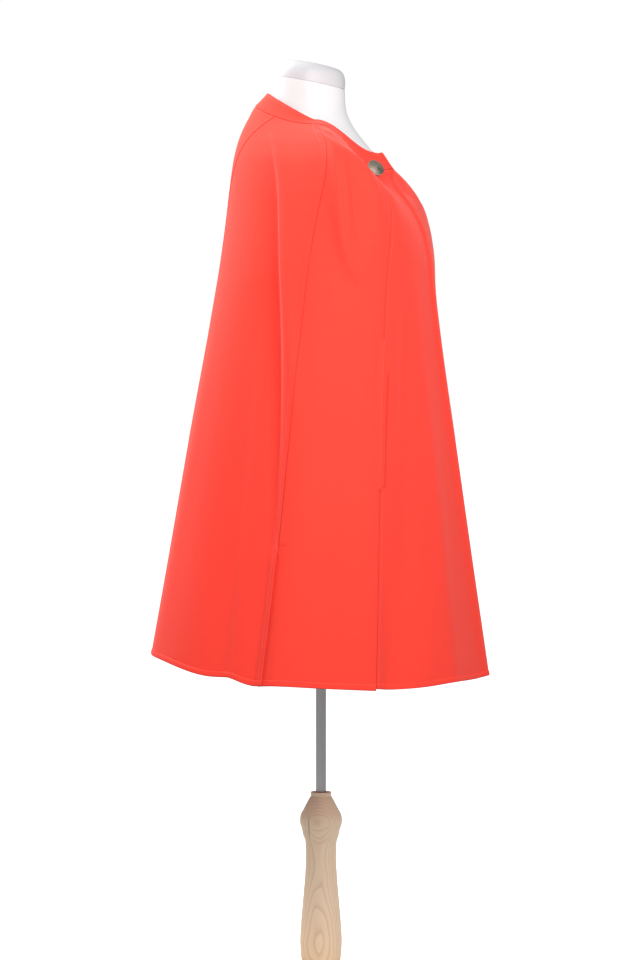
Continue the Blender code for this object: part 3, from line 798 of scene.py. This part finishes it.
def thread_finish(name, look):
    thread = Finish(name)
    twist = thread.noise(thread.place("OBJECT"), 1400.0, 1.0, 0.5)
    return thread.surface({
        "Base Color": thread.mixed(twist, look.wool_deep, look.thread),
        "Roughness": 0.7,
        "Sheen Weight": 0.2,
    })


def cover_finish(name, colour, roughness):
    """Stretched white jersey over the form, or its smooth cap."""
    cover = Finish(name)
    place = cover.place("OBJECT")
    fine = cover.noise(place, 1100.0, 2.0, 0.6)
    wide = cover.noise(place, 14.0, 2.0, 0.5)
    darker = [c * 0.93 for c in colour]
    return cover.surface({
        "Base Color": cover.mixed(wide * 0.6 + fine * 0.4, darker, colour),
        "Roughness": roughness,
        "Normal": cover.bump(fine, 0.00015),
    })


def bronze_finish(name, look):
    """Grey bronze, brushed from the middle outwards, with a painted reflection of the room as a dark wedge
    in its colour.
    """
    bronze = Finish(name)
    around = bronze.node("VectorMath", {"operation": "NORMALIZE"}, {0: bronze.place("UV")})
    rays = bronze.noise(around, 5.0, 3.0, 0.6)
    cloud = bronze.noise(bronze.place("OBJECT"), 240.0, 2.0, 0.5)
    metal = bronze.mixed(rays * 0.7 + cloud * 0.3, [c * 0.55 for c in look.bronze], look.bronze)
    towards = bronze.node("VectorMath", {"operation": "DOT_PRODUCT"}, {0: around, 1: PAINTED_BRIGHT_SIDE}, output=1)
    # Painted reflection: a dark wedge of colour on the side away from the painted bright side
    wedge = (0.5 - towards * 0.5) ** PAINTED_WEDGE_SHARPNESS
    return bronze.surface({
        "Base Color": bronze.mixed(wedge * 0.8, metal, [c * 0.25 for c in look.bronze]),
        "Metallic": 0.9,
        "Roughness": rays * 0.25 + 0.25,
        "Normal": bronze.bump(rays, 0.0002),
    })


def steel_finish(name, look):
    """Drawn steel tube with fine lines along it."""
    steel = Finish(name)
    lines = steel.noise(steel.place("OBJECT", scale=(1.0, 1.0, 0.02)), 1600.0, 2.0, 0.6)
    cloud = steel.noise(steel.place("OBJECT"), 30.0, 3.0, 0.5)
    return steel.surface({
        "Base Color": steel.mixed(lines * 0.6 + cloud * 0.4, [c * 0.75 for c in look.steel], look.steel),
        "Metallic": 0.85,
        "Roughness": cloud * 0.15 + 0.28,
        "Normal": steel.bump(lines, 0.00008),
    })


def pine_finish(name, look):
    """Turned pine: growth rings round a pith beside the piece, cut into arches and ovals by the turning."""
    pine = Finish(name)
    warp = pine.noise(pine.place("OBJECT", scale=(1.0, 1.0, 0.3)), 24.0, 2.0, 0.5)
    spot = pine.place("OBJECT", location=(look.pith[0], look.pith[1], 0.0), scale=(1.0, 1.0, 0.0))
    radius = pine.node("VectorMath", {"operation": "LENGTH"}, {0: spot}, output=1)
    rings = (radius + (warp - 0.5) * look.grain_wander) / look.ring_width
    wave = pine.node("Math", {"operation": "FRACT"}, {0: rings})
    late = pine.ramp(wave, LATE_WOOD)
    fibres = pine.noise(pine.place("OBJECT", scale=(1.0, 1.0, 0.03)), 1300.0, 2.0, 0.6)
    share = pine.node("Math", {"operation": "MULTIPLY"}, {0: late, 1: 0.75})
    colour = pine.mixed(share, look.pine_light, look.pine_dark)
    colour = pine.mixed(fibres * 0.22, colour, [c * 0.7 for c in look.pine_dark])
    spot = pine.place("OBJECT")
    aside = abs(pine.part(spot, 1) + (warp - 0.5) * CRACK["wander"] - CRACK["aside"])
    along = abs(pine.part(spot, 2) - CRACK["height"])
    inside = aside / CRACK["width"] + along / CRACK["half_length"] < 1.0
    shade = inside * (pine.part(spot, 0) < 0.0) * CRACK["shade"]
    colour = pine.mixed(shade, colour, CRACK["colour"])
    return pine.surface({
        "Base Color": colour,
        "Roughness": fibres * 0.15 + 0.45,
        "Normal": pine.bump(fibres * 0.6 + share * 0.4, 0.0002),
    })


# Properties


def colour_property(name, description, default):
    return FloatVectorProperty(
        name=name, description=description, default=default, subtype="COLOR", min=0.0, max=1.0, size=3
    )


def length_property(name, description, default, low, high):
    return FloatProperty(
        name=name, description=description, default=default, min=low, max=high, unit="LENGTH"
    )


def strength_property(name, description, default):
    return FloatProperty(name=name, description=description, default=default, min=0.0)


class CapeClothSettings(PropertyGroup):
    """Sizes and colours of the wool."""

    thickness: length_property("Thickness", "Thickness of one wall of wool", 0.0024, 0.001, 0.003)
    wool_light: colour_property("Wool, light", "Colour of the tips of the nap", (0.97, 0.060, 0.040))
    wool_deep: colour_property("Wool, deep", "Colour between the fibres", (0.90, 0.047, 0.030))
    # Colour of the painted shade in the seams' grooves and of the painted shadow under the slits' flaps
    wool_painted_shade: colour_property("Wool, shade", "Colour in the seams' grooves", (0.34, 0.018, 0.014))
    thread: colour_property("Thread", "Colour of the sewing thread", (0.97, 0.13, 0.10))
    sheen: FloatProperty(
        name="Sheen", description="How much the nap lights up at a grazing look", default=0.26, min=0.0,
        max=1.0, subtype="FACTOR",
    )
    nap_height: length_property("Nap height", "Height of the nap's relief", 0.00025, 0.0, 0.001)


class CapeStitchSettings(PropertyGroup):
    """Sizes of the topstitching."""

    stitch: length_property("Stitch", "Length of one stitch", 0.0026, 0.001, 0.006)
    spacing: length_property("Spacing", "From one stitch to the next", 0.0034, 0.0015, 0.008)
    width: length_property("Width", "Width of the thread", 0.0008, 0.0002, 0.0015)
    seed: IntProperty(name="Seed", description="Seed of the small differences between stitches", default=4)


class CapeFormSettings(PropertyGroup):
    """Colours of the dress form, the button and the stand."""

    cover: colour_property("Cover", "Colour of the form's cover", (0.68, 0.67, 0.675))
    cap: colour_property("Neck cap", "Colour of the neck cap", (0.54, 0.53, 0.545))
    bronze: colour_property("Button", "Colour of the button", (0.52, 0.44, 0.35))
    steel: colour_property("Pole", "Colour of the pole", (0.24, 0.235, 0.235))
    pine_light: colour_property("Pine, light", "Colour of the early wood", (0.93, 0.73, 0.53))
    pine_dark: colour_property("Pine, dark", "Colour of the late wood", (0.75, 0.51, 0.32))
    ring_width: length_property("Ring width", "From one growth ring to the next", 0.0026, 0.0005, 0.01)
    grain_wander: length_property("Grain wander", "How far the rings wander", 0.009, 0.0, 0.02)
    pith: FloatVectorProperty(
        name="Pith", description="Where the tree's middle lies beside the axis", default=(-0.040, -0.003),
        size=2, unit="LENGTH",
    )


class CapeStageSettings(PropertyGroup):
    """The studio."""

    key: strength_property("Key light", "Power of the light above the back", 42.0)
    front: strength_property("Front light", "Power of the light beside the camera", 28.0)
    side: strength_property("Side light", "Power of the low light before the cape", 4.5)
    room: strength_property("Room", "Strength of the light from all round", 0.34)
    backdrop: strength_property("Backdrop", "Brightness of the backdrop", 1.02)
    floor_glow: strength_property("Floor glow", "Brightness that lifts the floor to the backdrop", 0.9)
    floor: colour_property("Floor", "Colour of the floor", (0.93, 0.93, 0.93))


# Operators


class CapeClothOperator(Operator):
    """Cut the seven pieces of the cape and the three pieces of its neckband."""

    bl_idname = "cape.cloth"
    bl_label = "Cape and neckband"

    def execute(self, context):
        cloth = context.scene.cape_cloth
        wool = wool_finish("Coral wool", cloth)

        def sew(name, node, cut, top, foot, foot_rows):
            piece, flat, area = cloth_piece(name, cut, top, foot, foot_rows, cloth)
            finish_piece(piece, wool, "wool", node)

        for cut in CUTS:
            foot = FRONT_FOOT if cut[0].startswith("front") else 1.0
            sew(cut[0], "cape_" + cut[0], cut, 0.0, foot, HEM_ROWS)
        for cut in BANDS:
            sew(cut[0] + "_cloth", cut[0], cut, SECTIONS[0][0], BAND_FOOT, EDGE_ROWS)
        return {"FINISHED"}


def stitch_tree(material):
    """Geometry nodes that lay stitches along a line, flat on the cloth."""
    tree = bpy.data.node_groups.new("Stitches along a line", "GeometryNodeTree")
    face = tree.interface
    face.new_socket("Line", in_out="INPUT", socket_type="NodeSocketGeometry")
    for name in ("Stitch", "Spacing", "Width"):
        face.new_socket(name, in_out="INPUT", socket_type="NodeSocketFloat")
    face.new_socket("Seed", in_out="INPUT", socket_type="NodeSocketInt")
    face.new_socket("Stitches", in_out="OUTPUT", socket_type="NodeSocketGeometry")

    def node(kind, sockets=None, **settings):
        return add_node(tree, kind, settings, sockets or {}).outputs[0]

    sizes = tree.nodes.new("NodeGroupInput").outputs
    line = node("GeometryNodeMeshToCurve", {"Mesh": sizes["Line"]})
    points = node("GeometryNodeResampleCurve", {"Curve": line, "Length": sizes["Spacing"]}, mode="LENGTH")
    out = node("GeometryNodeInputNamedAttribute", {"Name": "out"}, data_type="FLOAT_VECTOR")
    tangent = node("GeometryNodeInputTangent")
    upright = node("FunctionNodeAlignRotationToVector", {"Vector": out}, axis="Z")
    facing = {"Rotation": upright, "Vector": tangent}
    along = node("FunctionNodeAlignRotationToVector", facing, axis="X", pivot_axis="Z")
    half = node("ShaderNodeMath", {0: sizes["Stitch"], 1: 0.5}, operation="MULTIPLY")
    thick = node("ShaderNodeMath", {0: sizes["Width"], 1: 0.5}, operation="MULTIPLY")
    scale = node("ShaderNodeCombineXYZ", {0: half, 1: thick, 2: thick})
    bead = node("GeometryNodeMeshUVSphere", {"Segments": 6, "Rings": 4, "Radius": 1.0})
    stitch = node("GeometryNodeTransform", {"Geometry": bead, "Scale": scale})
    least, most = STITCH_VARIETY
    vary = {"Min": least, "Max": most, "Seed": sizes["Seed"]}
    vary = node("FunctionNodeRandomValue", vary, data_type="FLOAT_VECTOR")
    laid = {"Points": points, "Instance": stitch, "Rotation": along, "Scale": vary}
    real = node("GeometryNodeRealizeInstances", {"Geometry": node("GeometryNodeInstanceOnPoints", laid)})
    dyed = node("GeometryNodeSetMaterial", {"Geometry": real, "Material": material})
    tree.links.new(dyed, tree.nodes.new("NodeGroupOutput").inputs[0])
    return tree


def stitch_lines():
    """Lines of topstitching as (angles, heights, distance out) on the cape's outer face."""
    lines = []

    def add_both(seam, metres, down, out):
        """A line beside a seam of the right side, metres towards the back, and its mirror image."""
        angle = seam_angle(seam, down)
        angle = angle + metres * degrees_per_metre(angle, down)
        lines.extend(((angle, down, out), (360.0 - angle, down, out)))

    def add_small(seam, places, out):
        """A few stitches at places (metres towards the back, height) beside a seam."""
        metres, down = np.array(places).T
        add_both(seam, metres, down, out)

    for seam, metres, start, end, out in STITCH_ROWS:
        add_both(seam, metres, np.linspace(start, end, max(3, int((end - start) * STITCH_GUIDES))), out)
    for height, first, last, guides in ROUND_ROWS:
        lines.append((np.linspace(first, last, guides), np.full(guides, height), 0.0))
    down = np.linspace(*FRONT_SPAN)
    for metres, out in FRONT_ROWS:
        lines.append((metres * -degrees_per_metre(np.zeros_like(down), down), down, out))

    turn = np.linspace(0.0, math.pi / 2, ARC_STEPS)
    fell = FELL["side_seam"]
    arc = [(fell * math.cos(t), VENT[0] - ARC_HEIGHT * (1.0 - math.sin(t))) for t in turn]
    add_small("side_seam", arc, FELL_RISE)
    for first, last in CROSS:
        add_small("side_seam", [(x, VENT[0] + d) for x, d in (first, last)], CROSS_OUT)
    for end in SLIT:
        add_small("front_seam", [(x, end) for x in TACK], TACK_OUT)
    return lines


class CapeStitchOperator(Operator):
    """Sew the rows of topstitching along the seams, the hem and the edges."""

    bl_idname = "cape.stitches"
    bl_label = "Topstitching"

    def execute(self, context):
        sizes = context.scene.cape_stitches
        thread = thread_finish("Coral thread", context.scene.cape_cloth)
        points, edges, directions = [], [], []
        for angle, down, out in stitch_lines():
            start = len(points)
            surface, normal = cape_surface(angle, down)
            points += (surface + normal * out).tolist()
            directions += normal.tolist()
            edges += [(i, i + 1) for i in range(start, len(points) - 1)]
        mesh = bpy.data.meshes.new("stitch_lines")
        mesh.from_pydata(points, edges, [])
        layer = mesh.attributes.new("out", "FLOAT_VECTOR", "POINT")
        layer.data.foreach_set("vector", np.array(directions, np.float32).ravel())
        guide = bpy.data.objects.new("stitch_lines", mesh)
        context.scene.collection.objects.link(guide)
        sewing = guide.modifiers.new("Sewing", "NODES")
        sewing.node_group = stitch_tree(thread)
        values = {"Stitch": sizes.stitch, "Spacing": sizes.spacing, "Width": sizes.width}
        values["Seed"] = sizes.seed
        for item in sewing.node_group.interface.items_tree:
            if item.name in values:
                sewing[item.identifier] = values[item.name]
        evaluated = guide.evaluated_get(context.evaluated_depsgraph_get())
        baked = bpy.data.meshes.new_from_object(evaluated)
        baked.name = "topstitching"
        stitches = bpy.data.objects.new("topstitching", baked)
        context.scene.collection.objects.link(stitches)
        bpy.data.objects.remove(guide)
        baked.shade_smooth()
        finish_piece(stitches, thread, "wool")
        return {"FINISHED"}


class CapeButtonOperator(Operator):
    """Turn the button with its shank."""

    bl_idname = "cape.button"
    bl_label = "Button"

    def execute(self, context):
        bronze = bronze_finish("Brushed bronze", context.scene.cape_form)
        profile = [(BUTTON_RADIUS * r, BUTTON_HEIGHT * h) for r, h in BUTTON_PROFILE]
        profile += [(SHANK_RADIUS, 0.0), (SHANK_RADIUS, -SHANK_LENGTH)]
        piece = turned_piece("button", profile, BUTTON_STEPS, sharp_angle=SOFT_EDGE)
        surface, out = cape_surface(BUTTON_ANGLE, BUTTON_DOWN)
        turn, tilt = math.radians(BUTTON_FACING), math.radians(BUTTON_RAISED)
        level = Vector((-math.sin(turn), -math.cos(turn), 0.0))
        facing = level * math.cos(tilt) + Vector((0.0, 0.0, math.sin(tilt)))
        layer = piece.data.uv_layers.new(name="UVMap")
        for loop in piece.data.loops:
            layer.data[loop.index].uv = piece.data.vertices[loop.vertex_index].co.xy / BUTTON_RADIUS
        seat = Matrix.Translation(Vector(surface + out * BUTTON_STANDOFF))
        piece.data.transform(seat @ facing.to_track_quat("Z", "Y").to_matrix().to_4x4())
        finish_piece(piece, bronze, "button_metal", "button_right")
        return {"FINISHED"}


def form_rows(thickness):
    """Rings of the torso from the cap's seam to its underside, as the model has them."""
    angle = np.linspace(0.0, 360.0, FORM_COLUMNS, endpoint=False)
    rings = [ring_points(angle, **dict(zip(FORM_NAMES, row))) for row in FORM_NECK]
    seam = rings[0]
    front, behind = seam[0].copy(), seam[len(seam) // 2].copy()
    slope = (behind[2] - front[2]) / (behind[1] - front[1])
    seam[:, 2] = front[2] + slope * (seam[:, 1] - front[1])
    for down in np.linspace(0.0, SHOULDER_END, SHOULDER_RINGS):
        inward = thickness + (SEAT_GAP if down > 0 else NECK_CLEARANCE)
        down = np.full_like(angle, down)
        rings.append(plain_points(angle, down) - outward(angle, down) * inward)
    rings += [ring_points(angle, **dict(zip(FORM_NAMES, row))) for row in FORM_TORSO]
    return rings


class CapeFormOperator(Operator):
    """Build the padded dress form and its neck cap."""

    bl_idname = "cape.form"
    bl_label = "Dress form"

    def execute(self, context):
        look = context.scene.cape_form
        rings = np.array(form_rows(context.scene.cape_cloth.thickness))
        seam = rings[0].copy()
        along = np.linalg.norm(np.diff(rings, axis=0), axis=-1).mean(axis=1)
        along = np.concatenate(([0.0], np.cumsum(along)))
        places = np.unique(np.concatenate((np.arange(0.0, along[-1], FORM_ROW_STEP), along)))
        rows = smooth_between(along, rings.reshape(len(rings), -1), places).reshape(-1, FORM_COLUMNS, 3)
        turn = np.radians(np.linspace(0.0, 360.0, FORM_COLUMNS, endpoint=False))
        bore = POLE_RADIUS + SEAM_GAP
        rim = np.stack((-bore * np.sin(turn), -bore * np.cos(turn), 0 * turn), -1)
        mouth, floor = rim + (0, 0, TORSO_BOTTOM), rim + (0, 0, TORSO_BOTTOM + POLE_SINK + SEAM_GAP)
        inset = rows[-1] * (TORSO_INSET, TORSO_INSET, 1.0)
        rows = np.concatenate((rows, inset[None], mouth[None], floor[None]))
        torso = stacked_piece("form_cover", rows)
        finish_piece(torso, cover_finish("White form cover", look.cover, 0.6), "form_cover", "form_torso")

        middle = seam.mean(axis=0)
        tilt = np.cross(seam[len(seam) // 2] - seam[0], (-1.0, 0.0, 0.0))
        tilt = tilt / np.linalg.norm(tilt)
        shells = [
            middle + (seam - middle) * share + tilt * (SEAM_GAP + CAP_RISE * rise)
            for share, rise in CAP_SHELLS[::-1]
        ]
        cap = stacked_piece("neck_cap", np.array(shells))
        finish_piece(cap, cover_finish("Neck cap", look.cap, 0.45), "neck_cap", "form_neck_cap")
        return {"FINISHED"}


class CapeStandOperator(Operator):
    """Turn the pole, the pine column and the round base."""

    bl_idname = "cape.stand"
    bl_label = "Stand"

    def execute(self, context):
        look = context.scene.cape_form
        steel = steel_finish("Drawn steel", look)
        pine = pine_finish("Turned pine", look)
        top = TORSO_BOTTOM + POLE_SINK
        foot = COLUMN_TOP - COLUMN_BORE_DEPTH + SEAM_GAP
        heights = np.linspace(top, foot, POLE_ROWS)
        pole = turned_piece("pole", [(POLE_RADIUS, z) for z in heights], POLE_STEPS)
        finish_piece(pole, steel, "pole_steel", "stand_pole")

        bore = POLE_RADIUS + SEAM_GAP
        shape = rounded_profile(COLUMN_PROFILE[2:], COLUMN_ROW_STEP)
        profile = [(bore, COLUMN_TOP - COLUMN_BORE_DEPTH), (bore, COLUMN_TOP)]
        profile += [*COLUMN_PROFILE[:2], *shape.tolist()]
        column = turned_piece("turned_column", profile, COLUMN_STEPS)
        finish_piece(column, pine, "pine", "stand_column")

        edge = [
            (BASE_RADIUS - BASE_EDGE * (1 - math.cos(t)), BASE_THICK - BASE_EDGE * (1 - math.sin(t)))
            for t in np.linspace(math.pi / 2, 0.0, BASE_EDGE_ROWS)
        ]
        disc = [*((r, BASE_THICK) for r in BASE_FACE_RADII), *edge]
        disc += [(BASE_RADIUS, BASE_FOOT_EDGE), (BASE_RADIUS - BASE_FOOT_EDGE, 0.0)]
        base = turned_piece("round_base", disc, BASE_STEPS)
        finish_piece(base, pine, "pine", "stand_base")
        return {"FINISHED"}


def soft_light(name, azimuth, raised, size, power):
    """A round soft box, at its distance from the middle of the cape in a direction in degrees."""
    turn, tilt = math.radians(azimuth), math.radians(raised)
    towards = Vector((math.sin(turn) * math.cos(tilt), -math.cos(turn) * math.cos(tilt), math.sin(tilt)))
    lamp = bpy.data.lights.new(name, "AREA")
    lamp.shape = "DISK"
    lamp.size = size
    lamp.energy = power
    light = bpy.data.objects.new(name, lamp)
    bpy.context.scene.collection.objects.link(light)
    light.location = Vector(LIT_PLACE) + towards * LIGHT_DISTANCE
    light.rotation_euler = (-towards).to_track_quat("-Z", "Y").to_euler()


class CapeStageOperator(Operator):
    """Lay the pale floor, hang the soft lights and set the camera."""

    bl_idname = "cape.stage"
    bl_label = "Studio"

    def execute(self, context):
        stage = context.scene.cape_stage
        corners = [(x * FLOOR_REACH, y * FLOOR_REACH, 0) for x, y in ((-1, -1), (1, -1), (1, 1), (-1, 1))]
        floor = mesh_piece("floor", corners, [(0, 1, 2, 3)])
        paint = Finish("Pale floor")
        grain = paint.noise(paint.place("OBJECT"), 3.0, 2.0, 0.5)
        floor.data.materials.append(paint.surface({
            "Base Color": paint.mixed(grain, [c * 0.99 for c in stage.floor], stage.floor),
            "Roughness": 0.9,
            "Specular IOR Level": 0.1,
            "Emission Color": (1.0, 1.0, 1.0),
            "Emission Strength": stage.floor_glow,
        }))
        floor.visible_diffuse = False

        world = bpy.data.worlds.new("Studio")
        world.use_nodes = True
        nodes, links = world.node_tree.nodes, world.node_tree.links
        room, backdrop = nodes["Background"], nodes.new("ShaderNodeBackground")
        for paper, strength in ((room, stage.room), (backdrop, stage.backdrop)):
            paper.inputs["Color"].default_value = (1.0, 1.0, 1.0, 1.0)
            paper.inputs["Strength"].default_value = strength
        chosen = nodes.new("ShaderNodeMixShader")
        links.new(nodes.new("ShaderNodeLightPath").outputs["Is Camera Ray"], chosen.inputs[0])
        links.new(room.outputs[0], chosen.inputs[1])
        links.new(backdrop.outputs[0], chosen.inputs[2])
        links.new(chosen.outputs[0], nodes["World Output"].inputs[0])
        context.scene.world = world
        context.scene.view_settings.view_transform = "Standard"
        for name, azimuth, raised, size in LIGHTS:
            soft_light(name + "_light", azimuth, raised, size, getattr(stage, name))

        lens = bpy.data.cameras.new("camera")
        lens.sensor_width = 36.0
        lens.lens = FOCAL_PIXELS * lens.sensor_width / PHOTO_HEIGHT
        camera = bpy.data.objects.new("camera", lens)
        context.scene.collection.objects.link(camera)
        turn = math.radians(CAMERA_AZIMUTH)
        camera.location = (
            CAMERA_DISTANCE * math.sin(turn), -CAMERA_DISTANCE * math.cos(turn), CAMERA_HEIGHT
        )
        drop = math.atan((PHOTO_HEIGHT / 2 - HORIZON_PIXEL) / FOCAL_PIXELS)
        aside = math.atan((AXIS_PIXEL - PHOTO_WIDTH / 2) / FOCAL_PIXELS)
        camera.rotation_euler = (math.radians(90.0) - drop, 0.0, turn + aside)
        context.scene.camera = camera
        return {"FINISHED"}


class CapePanel(Panel):
    """Lists the makers of the cape, the form, the stand and the studio."""

    bl_idname = "VIEW3D_PT_cape"
    bl_label = "Cape on a dress form"
    bl_space_type = "VIEW_3D"
    bl_region_type = "UI"
    bl_category = "Cape"

    def draw(self, context):
        layout = self.layout
        for settings, operators in PANEL_ROWS:
            box = layout.box()
            group = getattr(context.scene, settings)
            for name in group.__annotations__:
                box.prop(group, name)
            for operator in operators:
                box.operator(operator.bl_idname)


OPERATORS = (
    CapeClothOperator, CapeStitchOperator, CapeButtonOperator, CapeFormOperator, CapeStandOperator,
    CapeStageOperator,
)
SETTINGS = {
    "cape_cloth": CapeClothSettings,
    "cape_stitches": CapeStitchSettings,
    "cape_form": CapeFormSettings,
    "cape_stage": CapeStageSettings,
}
PANEL_ROWS = (
    ("cape_cloth", (CapeClothOperator,)),
    ("cape_stitches", (CapeStitchOperator,)),
    ("cape_form", (CapeButtonOperator, CapeFormOperator, CapeStandOperator)),
    ("cape_stage", (CapeStageOperator,)),
)


def register():
    for kind in (*SETTINGS.values(), *OPERATORS, CapePanel):
        bpy.utils.register_class(kind)
    for name, kind in SETTINGS.items():
        setattr(bpy.types.Scene, name, PointerProperty(type=kind))


def unregister():
    for name in SETTINGS:
        delattr(bpy.types.Scene, name)
    for kind in (CapePanel, *OPERATORS[::-1], *SETTINGS.values()):
        bpy.utils.unregister_class(kind)


def main():
    register()
    for operator in OPERATORS:
        area, name = operator.bl_idname.split(".")
        getattr(getattr(bpy.ops, area), name)()


if __name__ == "__main__":
    main()
